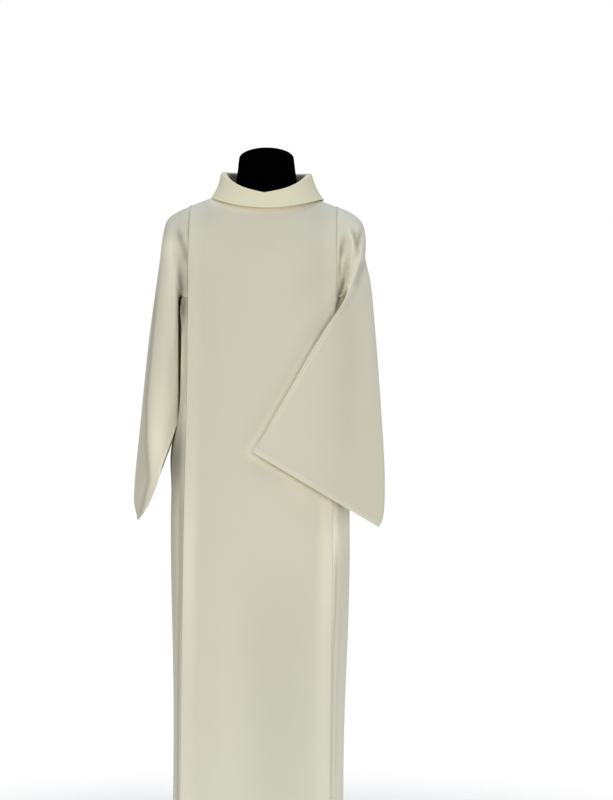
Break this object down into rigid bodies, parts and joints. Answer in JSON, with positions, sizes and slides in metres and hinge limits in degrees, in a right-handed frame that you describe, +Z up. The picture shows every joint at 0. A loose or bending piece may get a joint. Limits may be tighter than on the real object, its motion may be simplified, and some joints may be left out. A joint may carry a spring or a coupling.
{
  "type": "alb on a dress form",
  "caption": "Ivory alb with a turned-down roll collar and wide sleeves, worn by a black limbless dress form on a pole and round base.",
  "frame": {"origin": "centre of the stand base's underside, on the floor", "axes": "+Z up, +X to the wearer's left, -Y out of the front of the alb"},
  "size_m": [0.5374, 0.4, 1.59],
  "materials": {
    "alb_cloth": "smooth matt ivory gabardine with a fine even weave",
    "form_cover": "matt black stretch cover",
    "stand_metal": "satin black powder coat"
  },
  "bodies": {
    "root": {"front_panel": "alb_cloth", "back_panel": "alb_cloth", "side_panel_right": "alb_cloth", "side_panel_left": "alb_cloth", "sleeve_right": "alb_cloth", "sleeve_left": "alb_cloth", "collar": "alb_cloth", "dress_form": "form_cover", "stand_pole": "stand_metal", "stand_base": "stand_metal"}
  },
  "joints": []
}
